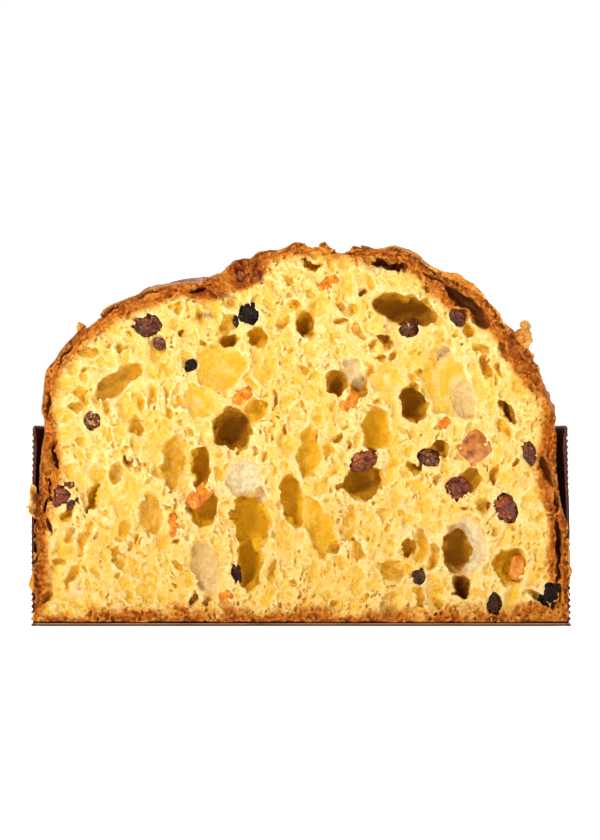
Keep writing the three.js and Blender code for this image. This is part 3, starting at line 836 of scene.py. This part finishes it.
# Painted shade: golden and olive cell walls are painted darker the more dough closes round them, and olive walls
# darker still deep behind the cut.
gone = spread(tree, wide, 0.50, 0.95)
golden_wall = blend(tree, gone, tone(234, 182, 34), tone(190, 124, 4))
golden_wall = blend(tree, maths(tree, "MULTIPLY", specks, 0.35), golden_wall, tone(120, 72, 6))
olive_wall = blend(tree, gone, tone(214, 154, 24), tone(156, 90, 8))
deep = spread(tree, attribute(tree, "depth"), 5, 10, 0, 0.6)
olive_wall = blend(tree, deep, olive_wall, tone(110, 56, 6))
olive_wall = blend(tree, maths(tree, "MULTIPLY", specks, 0.45), olive_wall, tone(70, 40, 6))
film_wall = mottled(tree, 520, tone(200, 176, 132), tone(226, 204, 158), tone(242, 226, 190), 5, 0.65)
colour = crumb
for label, wall in (("golden", golden_wall), ("olive", olive_wall), ("film", film_wall)):
    colour = blend(tree, attribute(tree, label), colour, wall)

# Towards the crust the crumb browns, deeper in some places than in others.
thick = spread(tree, noise(tree, 70, 3, 0.6), 0.3, 0.7, 0.8, 1.6)
uneven = maths(tree, "MULTIPLY_ADD", noise(tree, 420, 3, 0.65), 3.4, -1.7)
rind_depth = maths(tree, "DIVIDE", maths(tree, "ADD", attribute(tree, "rind"), uneven), thick)
dark_tones = (0.0, 78, 30, 4), (0.17, 118, 50, 8), (0.38, 180, 90, 14)
browned = ramp(tree, spread(tree, rind_depth, -1.0, 6.0), *dark_tones, (0.75, 218, 136, 34), (1.0, 238, 184, 78))
baked = spread(tree, rind_depth, 6.2, 3.0)
# Painted highlight: raised bits of the browned rim are painted paler orange; partly paler torn edges, partly light
# caught on them.
browned = blend(tree, spread(tree, fine, 0.47, 0.30, 0, 0.45), browned, tone(240, 174, 80))
grit = noise(tree, 1000, 4, 0.75)
browned = blend(tree, spread(tree, grit, 0.52, 0.38, 0, 0.55), browned, tone(112, 48, 8))
# The crust tears in layers that run along it: metres under the skin by a share of the way round.
xyz = add_node(tree, "ShaderNodeSeparateXYZ", {"Vector": place}).outputs
around = maths(tree, "ARCTAN2", xyz["X"], maths(tree, "SUBTRACT", xyz["Z"], 0.04))
around = maths(tree, "MULTIPLY", around, 0.024)
under = maths(tree, "MULTIPLY", attribute(tree, "rind"), 0.001)
layers = add_node(tree, "ShaderNodeCombineXYZ", {"X": under, "Y": around, "Z": xyz["Y"]})
shreds = noise(tree, 620, 4, 0.65, Vector=layers.outputs["Vector"])
browned = blend(tree, spread(tree, shreds, 0.52, 0.64, 0, 0.55), browned, tone(234, 150, 56))
browned = blend(tree, spread(tree, shreds, 0.46, 0.36, 0, 0.6), browned, tone(116, 46, 8))
# Painted shade: tears and slits in the browned rim are painted dark brown, more so deeper behind the cut.
slit_shade = spread(tree, attribute(tree, "depth"), 0.9, 3.4, 0, 0.85)
browned = blend(tree, slit_shade, browned, tone(70, 28, 6))
colour = blend(tree, baked, colour, browned)
# Painted shade: enclosed pits in the browned rim are painted dark brown.
crust_pit_shade = spread(tree, fine, 0.58, 0.80, 0, 0.8)
colour = blend(tree, maths(tree, "MULTIPLY", baked, crust_pit_shade), colour, tone(92, 42, 8))
scorch = spread(tree, noise(tree, 380, 3, 0.6), 0.34, 0.5)
scorch = maths(tree, "MULTIPLY", attribute(tree, "scorched"), scorch)
colour = blend(tree, scorch, colour, tone(104, 30, 10))
crust = mottled(tree, 80, tone(104, 46, 12), tone(158, 84, 26), tone(204, 134, 58), 5)
ridges = spread(tree, attribute(tree, "rind"), -0.3, 1.5)
crust = blend(tree, ridges, crust, blend(tree, 0.6, crust, tone(206, 132, 52)))
colour = blend(tree, attribute(tree, "outside"), colour, crust)
tree.links.new(colour, surface.inputs["Base Color"])
tree.links.new(spread(tree, attribute(tree, "outside"), 0, 1, 0.75, 0.4), surface.inputs["Roughness"])
tree.links.new(spread(tree, attribute(tree, "outside"), 0, 1, 0, 0.22), surface.inputs["Coat Weight"])
roughen(tree, surface, 1200, 0.8, 0.7, 0.0006, spread(tree, attribute(tree, "outside"), 0, 1, 0, 7))
loaf_mesh.materials.append(crumb_look)

# -----------------------------------------------------------------------------
# The raisins: sultanas soaked before they went into the dough, so they are plump but wrinkled. The
# ones that the knife met are dark and wet, and those against the crust are burnt black.
def ball_points(level):
    """The points and triangles of a round ball, as rows."""
    rough = bmesh.new()
    bmesh.ops.create_icosphere(rough, subdivisions=level, radius=1)
    points = np.array([v.co for v in rough.verts])
    faces = np.array([[v.index for v in f.verts] for f in rough.faces])
    rough.free()
    return points, faces


LATTICE = 24


def lumpy(points, scale, seed):
    """Smooth random numbers, about -1 to 1, at rows of points, with features about 1/scale wide."""
    lattice = np.random.default_rng(seed).uniform(-1, 1, (LATTICE,) * 3)
    place = points * scale + 100.5
    first = np.floor(place).astype(int)
    t = place - first
    t = t * t * (3 - 2 * t)
    total = 0
    for corner in np.ndindex(2, 2, 2):
        share = np.prod(np.where(corner, t, 1 - t), 1)
        total = total + share * lattice[tuple(((first + corner) % LATTICE).T)]
    return total


def laid(shape, name, gap, ragged, seed):
    """Points of a unit shape, scaled and tilted to stand where a piece of fruit is, and cut by the knife."""
    middle, half, tilt = lie_of(fruit[name])
    along, deep, across = (shape * half).T
    x, z = turned(along, across, -tilt)
    points = np.stack([x, deep, z], 1) + middle
    knife = FACE_Y - gap + ragged * lumpy(points, 0.5, seed)
    points[:, 1] = np.where(points[:, 1] < knife, knife + 0.25 * (points[:, 1] - knife), points[:, 1])
    return points


# How red and how burnt each raisin is, where it isn't the usual brown, and how much crumb clings to it.
RED = {"raisin_12": 1.0, "raisin_11": 0.7, "raisin_06": 0.45, "raisin_09": 0.5, "raisin_18": 0.9}
BURNT = {"raisin_02": 1.0, "raisin_03": 1.0, "raisin_16": 1.0, "raisin_15": 0.7, "raisin_14": 0.6, "raisin_17": 0.5}
CRUMBY = {"raisin_05": 1.3, "raisin_07": 0.4, "raisin_10": 0.4, "raisin_16": 0.2, "raisin_14": 0.5}
damp = {"Roughness": 0.34, "Specular_IOR_Level": 0.1, "Coat_Roughness": 0.16}
raisin_look, tree, surface = new_material("raisin_skin", **damp)
skin_colour = mottled(tree, 420, tone(84, 36, 14), tone(116, 56, 24), tone(164, 92, 46), 4)
red_skin = mottled(tree, 260, tone(110, 34, 2), tone(152, 62, 8), tone(204, 104, 26), 3)
skin_colour = blend(tree, attribute(tree, "red"), skin_colour, red_skin)
# Painted shade: the creases of the wrinkles are painted near black.
skin_colour = blend(tree, spread(tree, attribute(tree, "crease"), 0.3, 1.0, 0, 0.75), skin_colour, tone(44, 14, 4))
skin_colour = blend(tree, attribute(tree, "burnt"), skin_colour, tone(28, 13, 6))
stuck = maths(tree, "MULTIPLY_ADD", attribute(tree, "crumby"), 0.16, noise(tree, 700, 3, 0.7))
skin_colour = blend(tree, spread(tree, stuck, 0.68, 0.76, 0, 0.9), skin_colour, tone(206, 156, 84))
tree.links.new(skin_colour, surface.inputs["Base Color"])
wet = maths(tree, "SUBTRACT", attribute(tree, "red"), attribute(tree, "burnt"))
tree.links.new(spread(tree, wet, -1, 1, 0.1, 0.7), surface.inputs["Coat Weight"])
roughen(tree, surface, 1300, 0.3, 0.8, 0.0007)

ball, ball_faces = ball_points(5)
for number, name in enumerate(n for n in sorted(fruit) if n.startswith("raisin")):
    shift = ball + 3.7 * number
    swelling = (0.24 + 0.3 * BURNT.get(name, 0.0)) * lumpy(shift, 1.3, 41)
    folds = np.abs(lumpy(shift + 0.25 * lumpy(shift, 2.0, 42)[:, None], 2.6, 43))
    fine_folds = np.abs(lumpy(shift, 5.2, 44))
    crease = np.clip(0.42 - folds, 0, 1) / 0.42
    radius = 1.08 + swelling - 0.24 * crease - 0.1 * np.clip(0.4 - fine_folds, 0, 1)
    points = laid(ball * radius[:, None], name, 0.15, 0.35, 45)
    mesh = mesh_of(name + "_skin", points * MM, ball_faces)
    # The crease number, stored for the material, darkens the folds as painted shade.
    paint_points(mesh, "crease", crease + 0.5 * np.clip(0.3 - fine_folds, 0, 1) / 0.3)
    for label, share in (("red", RED), ("burnt", BURNT)):
        paint_points(mesh, label, np.full(len(points), share.get(name, 0.0)))
    paint_points(mesh, "crumby", CRUMBY.get(name, 0.0) + 0.7 * lumpy(points, 0.25, 46))
    mesh.materials.append(raisin_look)
    put_in(mesh, "wrinkled_" + name, "raisin", name)

# -----------------------------------------------------------------------------
# The candied orange: peel boiled in syrup and diced, translucent and sticky, with a duller pith side.
# The dice were stirred into the dough with the raisins, and the knife cut through most of them.
PALE = {"candied_orange_01": 0.2, "candied_orange_06": 1.0, "candied_orange_07": 0.35, "candied_orange_02": 0.1}
sticky = {"Roughness": 0.25, "Specular_IOR_Level": 0.2, "Coat_Weight": 0.3, "Coat_Roughness": 0.2}
peel_look, tree, surface = new_material("candied_peel", **sticky)
peel = mottled(tree, 420, tone(180, 74, 0), tone(220, 124, 0), tone(250, 188, 54), 5)
pink = mottled(tree, 330, tone(136, 66, 16), tone(190, 112, 44), tone(224, 160, 88))
peel = blend(tree, attribute(tree, "pale"), peel, pink)
tree.links.new(peel, surface.inputs["Base Color"])
roughen(tree, surface, 1000, 0.3, 0.5, 0.0005)
for number, name in enumerate(n for n in sorted(fruit) if n.startswith("candied")):
    blocky = (np.abs(ball) ** 5).sum(1) ** (-1 / 5)
    shift = ball + 5.1 * number
    dented = 1.0 + 0.07 * lumpy(shift, 1.6, 51) + 0.03 * lumpy(shift, 4.0, 52)
    points = laid(ball * (blocky * dented)[:, None], name, 0.1, 0.3, 53)
    mesh = mesh_of(name + "_peel", points * MM, ball_faces)
    paint_points(mesh, "pale", np.full(len(points), PALE.get(name, 0.0)))
    mesh.materials.append(peel_look)
    put_in(mesh, "glazed_" + name, "candied_orange", name)
